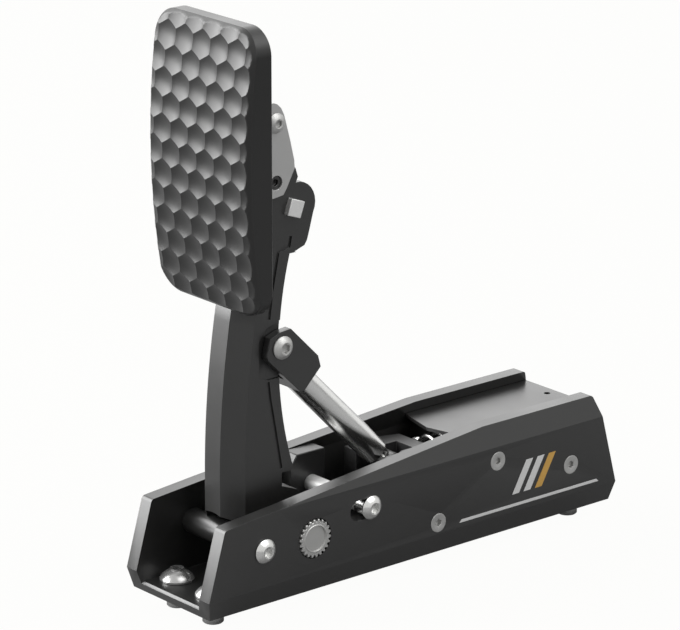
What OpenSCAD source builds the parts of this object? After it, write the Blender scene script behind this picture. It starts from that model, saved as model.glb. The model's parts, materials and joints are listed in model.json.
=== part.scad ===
// Single foot pedal module for driving games: a channel base, a lever arm with a dimpled pad,
// and a push rod that drives a sprung carriage along the base.
// Sizes are in millimetres. Side outlines are [y, z] points: y runs from the front end of the
// base to its rear end and z rises from its underside. placed() moves them to the shared frame.

/* [Base channel] */
// length of the base
base_len = 240; // [225:1:255]
// width over the side walls
base_w = 58.2; // [57.4:0.2:61]
// height of the side walls behind the slope
wall_top = 53; // [52:0.5:56]
// height at which the walls start to lean in
wall_bend = 42.6; // [42:0.1:43.4]
// how far the top edge leans in
wall_lean = 2.9; // [2.5:0.1:3]
// thickness of the side walls
wall_t = 6.9; // [6.5:0.1:7.1]
// thickness of the floor
floor_t = 4.4; // [4:0.1:4.8]
// height of the bevel along the lower edges
bevel_h = 9; // [7:0.5:10]
// how far that bevel cuts in
bevel_in = 2.3; // [1.5:0.1:3]
// height of the front end of the side walls
nose_h = 40.1; // [38:0.1:42]
// slant of the front end
nose_back = 9; // [6:0.5:11]
// place where the sloping top edge reaches full height
slope_end = 159; // [150:1:170]

/* [Floor bolts] */
// spacing across the base
floor_bolt_across = 25.2; // [24:0.2:27]
// distance of each row from its end of the base
floor_bolt_inset = 15; // [14:0.5:17]
// radius of the bolt shank
floor_bolt_r = 4.7; // [4:0.1:4.8]
// radius of the domed head
floor_head_r = 7.8; // [7:0.1:8]
// height of the domed head
floor_head_h = 5.6; // [4:0.1:6]
// length of bolt that stands out under the floor
bolt_reach = 7.7; // [5:0.1:12]

/* [Lever arm] */
// place of the arm's pivot along the base
pivot_y = 30.8; // [30:0.2:31.6]
// height of the pivot
pivot_z = 25.7; // [25:0.1:26.4]
// radius of the pivot sleeve
sleeve_r = 4; // [3.8:0.1:4.1]
// radius of the arm's hub that turns on it
hub_r = 5.7; // [5.5:0.1:6.2]
// width of the arm
arm_w = 26; // [25.8:0.1:26.2]
// width of the flat down its front
arm_flat = 10.5; // [8:0.5:12]
// thickness of its cheeks
cheek_t = 3.7; // [3.2:0.1:4]
// thickness of its front web
web_t = 5; // [4:0.1:5.5]
// place of its front face above the pivot
arm_front = 25.2; // [24.8:0.1:25.6]
// radius of the bow in its front face
front_bow = 450; // [420:10:600]
// radius of the hollow down its rear edge
rear_bow = 170.4; // [165:0.2:176]
// swing of the arm when the pedal is pressed, in degrees
pedal_swing = 6; // [4:0.5:6]

/* [Pad] */
// width of the pad
pad_w = 68; // [64:1:74]
// height of the pad
pad_h = 125.6; // [118:0.2:128]
// depth of its rim at mid height
pad_rim = 12.9; // [12:0.1:14]
// radius of its corners
pad_corner = 12; // [10:0.5:14]
// chamfer round its front
pad_chamfer = 2.05; // [1.5:0.05:2.5]
// radius of the bow in its front
pad_bow = 350; // [300:10:500]
// spacing of the dimples across the pad
cell_pitch = 11.75; // [10:0.05:14]
// depth of a dimple below the ridges
cell_depth = 1.7; // [1:0.1:2.2]

/* [Push rod and fork] */
// place of the fork pivot
fork_y = 51.2; // [51:0.1:51.6]
// height of the fork pivot
fork_z = 110.6; // [110:0.2:111.4]
// place of the carriage pin
pin_y = 124.7; // [124.4:0.1:125]
// height of the carriage pin
pin_z = 36.4; // [36.2:0.1:36.6]
// radius of the push rod
rod_r = 6.25; // [5.5:0.05:6.4]
// width over the fork's cheeks
fork_w = 33.2; // [32.8:0.2:35]
// radius of the fork bolt
fork_bolt_r = 3; // [2.5:0.1:3.2]

/* [Carriage and spring] */
// width of the carriage
carriage_w = 31; // [29:0.2:33]
// height of the spring's axis
spring_z = 34; // [33:0.2:34.6]
// outer diameter of the spring
spring_d = 20; // [19:0.1:20.4]
// diameter of the spring wire
wire_d = 2.8; // [2:0.1:3]
// curls of the spring
spring_curls = 6.7; // [5.7:0.5:7.7]
// radius of the guide rod inside the spring
guide_r = 4; // [3:0.1:5]

/* [Adjusters] */
// radius of the toothed knob
knob_r = 8.8; // [8.4:0.1:9.4]
// number of teeth round the knob
knob_teeth = 22; // [16:1:26]
// thickness of the knob
knob_t = 3; // [2.6:0.1:3.4]
// how much of it is sunk in the wall
knob_sink = 2.4; // [1.5:0.1:3]
// radius of the cam shaft
cam_shaft_r = 5; // [4.5:0.1:5.2]
// throw of the cam
cam_throw = 1.2; // [0.6:0.1:1.3]
// width of the side slots
slot_w = 9.6; // [9:0.1:10]
// travel of the stop along the slots
stop_travel = 7; // [5:0.5:7.5]

/* [Hidden] */

$fn = 64;
black = [0.17, 0.17, 0.18];
light_grey = [0.62, 0.62, 0.63];
steel = [0.75, 0.75, 0.77];
zinc = [0.66, 0.66, 0.67];
rubber = [0.1, 0.1, 0.1];

fit = 0.05;      // radial clearance of a turning fit
slip = 0.2;      // clearance of a piece set between the walls
past = 1;        // how far a cutter runs past a face
reach = 120;     // length of a cutter that runs past everything

// base
outer = base_w / 2;
inner = outer - wall_t;
inner_top = inner - wall_lean;
corner_in = 1.7;
lip_r = 2;
deck_t = 1.7;
deck_z = 46.4;
deck_tip = 148.7;
deck_front = 154;
deck_rear = base_len - 11.5;
floor_bolt_neck = floor_bolt_r - 0.6;
// inner half width at a height on the leaning part of the wall
function inner_at(z) = inner - wall_lean * max(0, z - wall_bend) / (wall_top - wall_bend);

// screws: head radius, head height, shank radius, socket across flats
m6_head = [5.5, 3.3, 2.95, 4];
m5_head = [4.5, 2.2, 2.45, 3];
m5_button = [4.4, 2.6, 2.45, 3];
pivot_screw_len = 12;

// arm
arm_half = arm_w / 2;
cheek_in = arm_half - cheek_t;
hub_half = inner - 1.2;
bush_wall = 0.8;
bush_deep = 9;
bush_flange = 0.5;
flange_r = 5.1;
bow_z = 50;
pad_foot = 131;
seat_y = 34.2;
arm_top = 216;
heel_z = 36.5;
step_z = 52;
hollow_top = 200;
rear_mid = [step_z + rear_bow, 104.55];
ear_mid = [62.5, 171.5];
ear_r = 10.2;
lobe_at = [60.2, 170.8];
lobe_side = 7.5;
lobe_turn = 20;
groove_w = 1.7;
groove_depth = 0.8;
upper_groove = [[58.9, 158.3], [58, 154], [51.9, 152.5], [48.5, 136.2], [46.7, 123.1]];
lower_groove = [[46, 95], [47, 86.8], [49.7, 72.5], [53, 54]];

// pad
pad_back = 32.3;
pad_low = 131.5;
pad_mid = pad_low + pad_h / 2;
pad_bow_z = 198;
pad_rim_y = pad_back - pad_rim;
cell_rows_z = 246.2;
cell_row_pitch = 10.05;
cell_reach = cell_pitch / sqrt(3);
flange_t = 2.4;
flange_out = 27;
flange_z = [184, 212];
pad_screw_x = 21.5;
pad_screw_depth = 4;
bracket_t = 3.5;
bracket_in = arm_half + slip;
bracket_out = bracket_in + bracket_t;
upper_screw = [48.1, 210.9];
lower_screw = [48.2, 184.6];
lower_screw_r = 3.2;

// push rod and fork
fork_half = fork_w / 2;
fork_in = arm_half - 0.3;
recess_in = fork_in - 0.3;
fork_across = 8.7;
fork_nose = 8.2;
fork_tail = 24.4;
bridge_at = 14.5;
rod_start = 16;
rod_gap = 7;
rod_taper = 4;
rod_stem_r = 4.5;
rod_tip_r = rod_stem_r + 0.3;
rod_vec = [pin_y - fork_y, pin_z - fork_z];
rod_len = norm(rod_vec);
rod_drop = -atan2(rod_vec[1], rod_vec[0]);
// the fork pivot with the pedal pressed, and how far the carriage has moved by then
fork_arm = [fork_y - pivot_y, fork_z - pivot_z];
fork_pressed = [pivot_y, pivot_z] + [
    fork_arm[0] * cos(pedal_swing) + fork_arm[1] * sin(pedal_swing),
    fork_arm[1] * cos(pedal_swing) - fork_arm[0] * sin(pedal_swing)];
carriage_travel = fork_pressed[0] + sqrt(pow(rod_len, 2) - pow(fork_pressed[1] - pin_z, 2)) - pin_y;
eye_r = 6;
eye_half = 5.4;
pin_r = 3;
eye_play = 0.25;

// carriage, rail and spring
carriage_half = carriage_w / 2;
carriage_front = 113;
carriage_rear = 143;
carriage_low = 20.5;
carriage_high = 43;
rail_front = 104;
rail_rear = 156;
rail_top = 20.2;
tongue_half = 5.8;
tongue_deep = 4.7;
pocket_floor = 30;
housing_front = slope_end - 1;
housing_rear = deck_rear - 9.5;
housing_low = 12;
seat_at = housing_rear - 23;
seat_t = 3.5;
puck_t = 5.5;
bore_r = 11;
bore_end = seat_at + seat_t + puck_t;
cell_end = housing_rear - 3;
wire_gap = 0.3;
coil_r = (spring_d - wire_d) / 2;
rings = 8;
wire_sides = 6;
side_screw_at = [[rail_front + 26.6, 14.7], [housing_front + 8.2, 35.7], [housing_rear - 7.5, 23.6]];

// adjusters
knob_y = 58.8;
knob_z = 24.8;
cam_r = 5.6;
cap_r = 7;
cap_t = 2.5;
slot_z = 31.5;
stop_y = 91;
slot_front = stop_y - stop_travel - slot_w / 2 - slip;
slot_rear = stop_y + slot_w / 2 + 1.2;
bar_r = 4;
block_in = 12.5;
cover_front = deck_rear - 3.5;
cover_t = 2;
cable_z = 22;
cable_r = 3.4;

// Helpers

module placed() {
    translate([0, -base_len / 2, bolt_reach]) children();
}

module both_sides() {
    children();
    mirror([1, 0, 0]) children();
}

// a side outline given thickness from x0 to x1
module side_slab(points, x0, x1) {
    translate([x0, 0, 0]) rotate([90, 0, 90]) linear_extrude(x1 - x0) polygon(points);
}

// an end outline of [x, z] points given length from y0 to y1
module end_slab(points, y0, y1) {
    translate([0, y1, 0]) rotate([90, 0, 0]) linear_extrude(y1 - y0) polygon(points);
}

// a cylinder across the base at [y, z], from x0 to x1
module across(at, r, x0, x1) {
    translate([x0, at[0], at[1]]) rotate([0, 90, 0]) cylinder(r = r, h = x1 - x0);
}

// children that stand along z are laid outwards along x at [y, z]
module facing_out(x, at) {
    translate([x, at[0], at[1]]) rotate([0, 90, 0]) children();
}

// the rod frame: z runs from the fork pivot to the carriage pin
module along_rod() {
    translate([0, fork_y, fork_z]) rotate([-90 - rod_drop, 0, 0]) children();
}

// a domed screw: its head stands on z = 0 and its shank hangs below
module domed_screw(size, length) {
    dome_r = (pow(size[0], 2) + pow(size[1] * 0.8, 2)) / (2 * size[1] * 0.8);
    difference() {
        intersection() {
            cylinder(r = size[0], h = size[1]);
            translate([0, 0, size[1] - dome_r]) sphere(r = dome_r);
        }
        translate([0, 0, size[1] * 0.4]) cylinder(d = size[3] / cos(30), h = size[1], $fn = 6);
    }
    translate([0, 0, -length]) cylinder(r = size[2], h = length);
}

// a countersunk screw: the top of its head lies at z = 0
module sunk_screw(size, length) {
    difference() {
        union() {
            translate([0, 0, -size[1]]) cylinder(r1 = size[2], r2 = size[0], h = size[1]);
            translate([0, 0, -length]) cylinder(r = size[2], h = length - size[1]);
        }
        translate([0, 0, -size[1] * 0.8]) cylinder(d = size[3] / cos(30), h = size[1], $fn = 6);
    }
}

function unit(v) = v / norm(v);
function arc(mid, r, from, to, steps) =
    [for (i = [0:steps]) mid + r * [cos(from + (to - from) * i / steps), sin(from + (to - from) * i / steps)]];
// points of a rounded corner at p, between its neighbours a and b
function corner(a, p, b, r, steps = 4) =
    let (u = unit(a - p), v = unit(b - p), half = acos(u * v) / 2)
    let (mid = p + unit(u + v) * r / sin(half), s = p + u * r / tan(half), e = p + v * r / tan(half))
    let (from = atan2(s[1] - mid[1], s[0] - mid[0]), turn = atan2(e[1] - mid[1], e[0] - mid[0]) - from)
    arc(mid, r, from, from + (turn > 180 ? turn - 360 : turn < -180 ? turn + 360 : turn), steps);
// a band of even width along a line of points, mitred where the line turns
function normal(a, b) = let (u = unit(b - a)) [-u[1], u[0]];
function mitre(points, i) =
    let (n = len(points) - 1, p = normal(points[max(0, i - 1)], points[max(1, i)]))
    let (m = unit(p + normal(points[min(n - 1, i)], points[min(n, i + 1)]))) m / (m * p);
function band(points, w) = concat(
    [for (i = [0:len(points) - 1]) points[i] + mitre(points, i) * w / 2],
    [for (i = [len(points) - 1:-1:0]) points[i] - mitre(points, i) * w / 2]);
// a point s along the rod from the fork pivot and t across it
function rod_point(s, t) =
    [fork_y, fork_z] + s * [cos(rod_drop), -sin(rod_drop)] + t * [sin(rod_drop), cos(rod_drop)];

// Base channel

module base_side() {
    slope = [slope_end, wall_top];
    nose = [nose_back, nose_h];
    tail = [base_len - 13.2, wall_top];
    hip = [base_len - 9, wall_bend];
    side_slab(concat(
        [[2, 0], [0, bevel_h]],
        corner([0, bevel_h], nose, slope, lip_r),
        [slope],
        corner(slope, tail, hip, lip_r),
        [hip, [base_len, bevel_h], [base_len - 2.2, 0]]), -outer, outer);
}

module base_section() {
    end_slab([
        [-outer + bevel_in, 0], [outer - bevel_in, 0], [outer, bevel_h], [outer, wall_bend],
        [outer - wall_lean, wall_top], [inner_top, wall_top], [inner, wall_bend], [inner, bevel_h],
        [inner - corner_in, floor_t], [-inner + corner_in, floor_t], [-inner, bevel_h],
        [-inner, wall_bend], [-inner_top, wall_top], [-outer + wall_lean, wall_top],
        [-outer, wall_bend], [-outer, bevel_h]], 0, base_len);
}

module wall_holes() {
    both_sides() {
        across([pivot_y, pivot_z], m6_head[2] + slip, inner - past, outer + past);
        across([knob_y, knob_z], cam_shaft_r + fit, inner - past, outer + past);
        for (at = side_screw_at) {
            facing_out(outer, at) {
                translate([0, 0, -m5_head[1]])
                    cylinder(r1 = m5_head[2], r2 = m5_head[0], h = m5_head[1]);
                translate([0, 0, -wall_t - past]) cylinder(r = m5_head[2], h = wall_t + past);
            }
        }
        for (y = [slot_front + slot_w / 2, slot_rear - slot_w / 2])
            across([y, slot_z], slot_w / 2, inner - past, outer + past);
        translate([inner - past, slot_front + slot_w / 2, slot_z - slot_w / 2])
            cube([wall_t + 2 * past, slot_rear - slot_front - slot_w, slot_w]);
    }
}

// the sunk seat of the knob, in the right wall only
module knob_seat() {
    across([knob_y, knob_z], knob_r + 2 * slip, outer - knob_sink - slip, outer + past);
}

module at_floor_bolts() {
    for (x = [-0.5, 0.5] * floor_bolt_across)
        for (y = [floor_bolt_inset, base_len - floor_bolt_inset])
            translate([x, y, floor_t]) children();
}

module base_channel() {
    color(black) placed() difference() {
        intersection() {
            base_side();
            base_section();
        }
        wall_holes();
        knob_seat();
        at_floor_bolts() {
            translate([0, 0, -floor_t - past]) cylinder(r = floor_bolt_r + slip, h = floor_t + 2 * past);
            cylinder(r = floor_head_r + slip, h = bevel_h);
        }
        side_slab([[-past, floor_t - 1], [1.3, floor_t - 1], [2.3, floor_t], [-past, floor_t]],
            corner_in - inner, inner - corner_in);
    }
}

module deck_plate() {
    bottom = inner_at(deck_z) - slip;
    top = inner_at(deck_z + deck_t) - slip;
    color(black) placed() difference() {
        intersection() {
            translate([0, 0, deck_z]) linear_extrude(deck_t)
                polygon([[0, deck_tip], [inner, deck_front], [inner, deck_rear],
                    [-inner, deck_rear], [-inner, deck_front]]);
            end_slab([[-bottom, deck_z], [bottom, deck_z], [top, deck_z + deck_t],
                [-top, deck_z + deck_t]], deck_tip - past, deck_rear + past);
        }
        translate([0, deck_rear - 5.5, deck_z - past]) cylinder(r = 1.5, h = deck_t + 2 * past);
    }
}

module floor_bolts() {
    size = [floor_head_r, floor_head_h, floor_bolt_neck, 5];
    color(steel) placed() at_floor_bolts() {
        domed_screw(size, floor_t);
        translate([0, 0, -floor_t - bolt_reach]) cylinder(r = floor_bolt_r, h = bolt_reach);
    }
}

module pivot_sleeve() {
    color(steel) placed() difference() {
        across([pivot_y, pivot_z], sleeve_r, -inner, inner);
        both_sides() across([pivot_y, pivot_z], m6_head[2], inner - pivot_screw_len, inner + past);
    }
}

module pivot_spacers() {
    color(black) placed() both_sides() difference() {
        across([pivot_y, pivot_z], flange_r, hub_half + bush_flange + slip, inner);
        across([pivot_y, pivot_z], sleeve_r, hub_half, inner + past);
    }
}

module pivot_bolts() {
    color(steel) placed() both_sides() facing_out(outer, [pivot_y, pivot_z])
        domed_screw(m6_head, wall_t + pivot_screw_len);
}

// Rail and housing inside the base

module guide_rail() {
    half = inner - slip;
    groove = tongue_half + slip;
    color(black) placed() difference() {
        end_slab([
            [corner_in - half, floor_t], [half - corner_in, floor_t], [half, bevel_h], [half, rail_top],
            [groove, rail_top], [groove, rail_top - tongue_deep - slip],
            [-groove, rail_top - tongue_deep - slip], [-groove, rail_top], [-half, rail_top],
            [-half, bevel_h]], rail_front, rail_rear);
        both_sides() across(side_screw_at[0], m5_head[2], half - 8, inner + past);
    }
}

module cell_housing() {
    half = inner - slip;
    top = inner_at(deck_z) - slip;
    color(black) placed() difference() {
        end_slab([[-half, housing_low], [half, housing_low], [half, wall_bend], [top, deck_z],
            [-top, deck_z], [-half, wall_bend]], housing_front, housing_rear);
        translate([0, housing_front - past, spring_z]) rotate([-90, 0, 0])
            cylinder(r = bore_r, h = bore_end - housing_front + past);
        translate([-9.5, bore_end - past, spring_z - 10])
            cube([19, cell_end - bore_end + past, 20]);
        both_sides() for (i = [1, 2])
            across(side_screw_at[i], m5_head[2], half - 9, inner + past);
    }
}

module side_screws() {
    color(zinc) placed() both_sides() for (at = side_screw_at)
        facing_out(outer, at) sunk_screw(m5_head, wall_t + 8);
}

module spring_seat() {
    color(steel) placed() translate([0, seat_at, spring_z]) rotate([-90, 0, 0]) {
        cylinder(r = bore_r - slip, h = seat_t);
        translate([0, 0, -2]) cylinder(r = coil_r - wire_d / 2 - 0.7, h = 2);
    }
}

module elastomer() {
    color(rubber) placed() translate([0, seat_at + seat_t, spring_z]) rotate([-90, 0, 0])
        difference() {
            cylinder(r = bore_r - 0.8, h = puck_t);
            translate([0, 0, -past]) cylinder(r = 3, h = puck_t + 2 * past);
        }
}

module load_cell() {
    color(steel) placed() difference() {
        translate([-9.2, bore_end, spring_z - 9.7]) cube([18.4, cell_end - bore_end, 19.4]);
        for (z = [-4.5, 4.5]) across([(bore_end + cell_end) / 2, spring_z + z], 2.8, -10, 10);
    }
}

module rear_cover() {
    half = inner - slip;
    top = inner_at(deck_z) - slip;
    low = floor_t + floor_head_h + 0.5;
    color(black) placed() difference() {
        end_slab([[-half, low], [half, low], [half, wall_bend], [top, deck_z], [-top, deck_z],
            [-half, wall_bend]], cover_front, cover_front + cover_t);
        translate([0, cover_front - past, cable_z]) rotate([-90, 0, 0])
            cylinder(r = cable_r, h = cover_t + 2 * past);
    }
}

module cable_grommet() {
    lip = 1.5;
    bore = cable_r - lip;
    brim = cable_r + 1.2;
    color(rubber) placed() translate([0, cover_front - lip, cable_z]) rotate([-90, 0, 0])
        rotate_extrude() polygon([[bore, 0], [brim, 0], [brim, lip], [cable_r, lip], [cable_r, lip + cover_t],
            [brim, lip + cover_t], [brim, 2 * lip + cover_t], [bore, 2 * lip + cover_t]]);
}

// Coil spring: one wire swept along a helix

spring_start = carriage_rear + wire_gap + wire_d / 2;
spring_end = seat_at - wire_gap - wire_d / 2;
spring_steps = round(spring_curls * rings);
spring_pitch = (spring_end - spring_start) / spring_curls;
function coil_turn(i) = 90 + 360 * i / rings;
function coil_point(i) =
    [coil_r * cos(coil_turn(i)), spring_start + spring_pitch * i / rings, spring_z + coil_r * sin(coil_turn(i))];
function coil_heading(i) =
    unit([-coil_r * sin(coil_turn(i)), spring_pitch / (2 * PI), coil_r * cos(coil_turn(i))]);
function wire_ring(i) =
    let (out = [cos(coil_turn(i)), 0, sin(coil_turn(i))], side = cross(coil_heading(i), out))
    [for (k = [0:wire_sides - 1])
        coil_point(i) + wire_d / 2 * (cos(360 * k / wire_sides) * out + sin(360 * k / wire_sides) * side)];
wire_points = [for (i = [0:spring_steps]) each wire_ring(i)];
wire_skin = [for (i = [0:spring_steps - 1], k = [0:wire_sides - 1])
    let (a = i * wire_sides + k, b = i * wire_sides + (k + 1) % wire_sides)
    each [[a, b, b + wire_sides], [a, b + wire_sides, a + wire_sides]]];
wire_ends = [for (k = [1:wire_sides - 2])
    each [[0, k + 1, k], [spring_steps * wire_sides, spring_steps * wire_sides + k, spring_steps * wire_sides + k + 1]]];
// least distance between wires more than half a curl apart, from surface to surface
spring_gap = min([for (i = [0:spring_steps - rings / 2 - 1], j = [i + rings / 2:spring_steps])
    norm(coil_point(i) - coil_point(j))]) - wire_d;
echo(spring_gap = spring_gap);

module spring() {
    color(steel) placed() polyhedron(wire_points, concat(wire_skin, wire_ends));
}

// Lever arm

ear_outline = concat(
    [for (p = [[-5.2, 21], [-0.7, 16.5], [0.6, 12.5], [-0.5, 10.1]]) ear_mid + p],
    arc(ear_mid, ear_r, 80, -28, 8),
    [for (p = [[6.6, -13.3], [5.5, -16.7], [4.1, -18.7], [1.6, -19.5], [-2.3, -20.8]]) ear_mid + p]);

module arm_side() {
    side_slab(concat(
        [[pivot_y - hub_r, pivot_z], [pivot_y - hub_r, pad_foot], [seat_y, pad_foot],
            [seat_y, arm_top], [46.5, arm_top], [50, arm_top - 3]],
        ear_outline,
        [[62, 150.6], [62, step_z], [53.5, step_z], [53.5, 45.8], [62, 42.4], [64.2, 40.5],
            [64.5, 38.5], [63, heel_z], [48, heel_z], [42, pivot_z + 6],
            [pivot_y + hub_r, pivot_z]]), -arm_half, arm_half);
}

// an [radius, x] section swept upwards about the centre of the front bow
module bow_sweep() {
    translate([0, arm_front + front_bow, bow_z]) rotate([90, 0, -90])
        rotate_extrude(angle = 13, $fn = 360) children();
}

module below_pad() {
    intersection() {
        children();
        translate([-arm_half - past, 0, 0]) cube([arm_w + 2 * past, reach, pad_foot]);
    }
}

// the bowed column: straight up to bow_z, then swept
module arm_column() {
    flat = arm_flat / 2;
    cut = arm_half - flat;
    translate([0, 0, pivot_z]) linear_extrude(bow_z - pivot_z)
        polygon([[-flat, arm_front], [flat, arm_front], [arm_half, arm_front + cut], [arm_half, 70],
            [-arm_half, 70], [-arm_half, arm_front + cut]]);
    below_pad() bow_sweep()
        polygon([[front_bow, -flat], [front_bow, flat], [front_bow - cut, arm_half],
            [front_bow - 45, arm_half], [front_bow - 45, -arm_half], [front_bow - cut, -arm_half]]);
    translate([-arm_half, seat_y, pad_foot - 1]) cube([arm_w, 45, arm_top - pad_foot + 2]);
}

module arm_hollow() {
    arch_rise = 2.5;
    arch_r = (pow(cheek_in, 2) + pow(arch_rise, 2)) / (2 * arch_rise);
    arch_top = pivot_z + 11;
    translate([-cheek_in, arm_front + web_t, step_z - 4]) cube([2 * cheek_in, 60, bow_z - step_z + 4]);
    translate([-cheek_in, arm_front + web_t, 0]) cube([2 * cheek_in, 50 - arm_front - web_t, step_z - 3]);
    below_pad() bow_sweep()
        translate([front_bow - 70, -cheek_in]) square([70 - web_t, 2 * cheek_in]);
    translate([-cheek_in, seat_y + web_t, pad_foot - 1]) cube([2 * cheek_in, 50, hollow_top - pad_foot + 1]);
    intersection() {
        translate([0, 0, arch_top - arch_r]) rotate([-90, 0, 0]) cylinder(r = arch_r, h = 50);
        translate([-cheek_in, 0, 0]) cube([2 * cheek_in, 50, arch_top + past]);
    }
}

module groove(points) {
    side_slab(band(points, groove_w), arm_half - groove_depth, arm_half + past);
}

module arm() {
    color(black) placed() difference() {
        union() {
            difference() {
                intersection() {
                    arm_side();
                    arm_column();
                }
                arm_hollow();
            }
            across([pivot_y, pivot_z], hub_r, -hub_half, hub_half);
        }
        intersection() {
            across(rear_mid, rear_bow, -arm_half - past, arm_half + past);
            translate([-30, 0, step_z]) cube([60, 100, 150.6 - step_z]);
        }
        across([pivot_y, pivot_z], sleeve_r + bush_wall, -hub_half - past, hub_half + past);
        across([fork_y, fork_z], fork_bolt_r + fit, -arm_half - past, arm_half + past);
        across(upper_screw, m5_button[2], -arm_half - past, arm_half + past);
        across(lower_screw, m5_button[2], -arm_half - past, arm_half + past);
        facing_out(-arm_half - past, lobe_at) rotate(-lobe_turn) translate([-lobe_side / 2, -lobe_side / 2])
            cube([lobe_side, lobe_side, arm_w + 2 * past]);
        both_sides() {
            groove(upper_groove);
            groove(lower_groove);
            side_slab([[41.2, 98], [41.2, 114], [45, 119.2], [52, 121.8], [64, 122], [64, 96], [46, 96]],
                recess_in, arm_half + past);
        }
    }
}

module arm_bushes() {
    color(zinc) placed() both_sides() difference() {
        union() {
            across([pivot_y, pivot_z], sleeve_r + bush_wall, hub_half - bush_deep, hub_half + fit);
            across([pivot_y, pivot_z], flange_r, hub_half, hub_half + bush_flange);
        }
        across([pivot_y, pivot_z], sleeve_r + fit, hub_half - bush_deep - past, hub_half + 2 * past);
    }
}

module lobe_pin() {
    color(zinc) placed() facing_out(-arm_half - 2.5, lobe_at) rotate(-lobe_turn)
        translate([-lobe_side / 2, -lobe_side / 2]) cube([lobe_side, lobe_side, arm_w + 5]);
}

// Pad: columns of points, stitched to their neighbours, carry the dimples

// depth below the ridges at a point, from the nearest dimple of a honeycomb
function cell_off(x, shift) = x - shift - cell_pitch * round((x - shift) / cell_pitch);
function cell_far(x, z, row) = norm([cell_off(x, row % 2 == 0 ? 0 : cell_pitch / 2),
    z - cell_rows_z + row * cell_row_pitch]);
function dimple(x, z) =
    let (row = floor((cell_rows_z - z) / cell_row_pitch))
    let (far = min(cell_far(x, z, row), cell_far(x, z, row + 1)))
    cell_depth * max(0, 1 - pow(far / cell_reach, 2));
function bow(z) = pad_bow - sqrt(pow(pad_bow, 2) - pow(z - pad_bow_z, 2));
function front_y(x, z) = pad_rim_y - pad_chamfer + bow(z) + dimple(x, z);

face_half = pad_w / 2 - pad_chamfer;
face_corner = pad_corner - pad_chamfer;
face_rise = pad_h / 2 - pad_chamfer;
core_half = face_half - face_corner;
// columns lie a quarter of the dimple pitch apart, closer where the corners turn
inner_columns = [for (i = [0:floor((face_half - 1) / (cell_pitch / 4))]) i * cell_pitch / 4];
right_columns = concat([for (x = inner_columns) if (x < face_half - 2) x],
    [for (turn = [60, 72, 81, 90]) if (core_half + face_corner * sin(turn) > face_half - 2)
        core_half + face_corner * sin(turn)]);
columns = concat([for (i = [len(right_columns) - 1:-1:1]) -right_columns[i]], right_columns);
last = len(columns) - 1;
function column_rise(x) = face_rise - face_corner
    + sqrt(max(0, pow(face_corner, 2) - pow(max(0, abs(x) - core_half), 2)));
// heights of one column: its two ends, and lattice points between them
lattice = cell_row_pitch / 3;
function column_shift(x) = round(abs(x) / (cell_pitch / 4)) % 2 == 0 ? 0 : lattice / 2;
function column_heights(x) =
    let (rise = column_rise(x), base = cell_rows_z + column_shift(x))
    let (from = ceil((pad_mid - rise + 0.6 - base) / lattice), to = floor((pad_mid + rise - 0.6 - base) / lattice))
    concat([pad_mid - rise], [for (k = [from:to]) base + k * lattice], [pad_mid + rise]);
heights = [for (x = columns) column_heights(x)];
starts = [for (i = 0, s = 0; i <= last + 1; s = s + (i <= last ? len(heights[i]) : 0), i = i + 1) s];
face_points = [for (i = [0:last], z = heights[i]) [columns[i], front_y(columns[i], z), z]];
// triangles between two columns: the side whose next point is lower moves up
function stitch(i, a, b) =
    let (more_a = a < len(heights[i]) - 1, more_b = b < len(heights[i + 1]) - 1)
    let (p = starts[i] + a, q = starts[i + 1] + b)
    !more_a && !more_b ? [] :
    more_a && (!more_b || heights[i][a + 1] < heights[i + 1][b + 1] - 0.001)
        ? concat([[p, p + 1, q]], stitch(i, a + 1, b))
        : concat([[p, q + 1, q]], stitch(i, a, b + 1));
face_skin = [for (i = [0:last - 1]) each stitch(i, 0, 0)];
// the rim of the face: up the right side, over the top, down the left, along the bottom
rim = concat(
    [for (k = [0:len(heights[last]) - 1]) starts[last] + k],
    [for (i = [last - 1:-1:1]) starts[i + 1] - 1],
    [for (k = [len(heights[0]) - 1:-1:0]) starts[0] + k],
    [for (i = [1:last - 1]) starts[i]]);
rim_count = len(rim);
// outward step from the rim of the face to the side of the pad
function held(v, most) = max(-most, min(most, v));
function rim_out(p) =
    let (off = [p[0] - held(p[0], core_half), p[2] - pad_mid - held(p[2] - pad_mid, face_rise - face_corner)])
    [p[0], p[2]] + unit(off) * pad_chamfer;
side_ring = [for (k = rim) let (o = rim_out(face_points[k])) [o[0], pad_rim_y + bow(face_points[k][2]), o[1]]];
back_ring = [for (p = side_ring) [p[0], pad_back, p[2]]];
face_count = len(face_points);
pad_points = concat(face_points, side_ring, back_ring);
pad_skin = concat(face_skin,
    [for (k = [0:rim_count - 1]) let (n = (k + 1) % rim_count, s = face_count, b = face_count + rim_count)
        each [[rim[k], rim[n], s + n], [rim[k], s + n, s + k], [s + k, s + n, b + n], [s + k, b + n, b + k]]],
    [[for (k = [rim_count - 1:-1:0]) face_count + rim_count + k]]);

module pad_plate() {
    color(black) placed() difference() {
        polyhedron(pad_points, pad_skin);
        at_pad_screws() translate([0, 0, -flange_t - pad_screw_depth])
            cylinder(r = m5_head[2], h = pad_screw_depth + past);
    }
}

module at_pad_screws() {
    for (x = [-pad_screw_x, pad_screw_x], z = [flange_z[0] + 7, flange_z[1] - 5])
        translate([x, pad_back + flange_t, z]) rotate([-90, 0, 0]) children();
}

// Brackets between pad and arm

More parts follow.
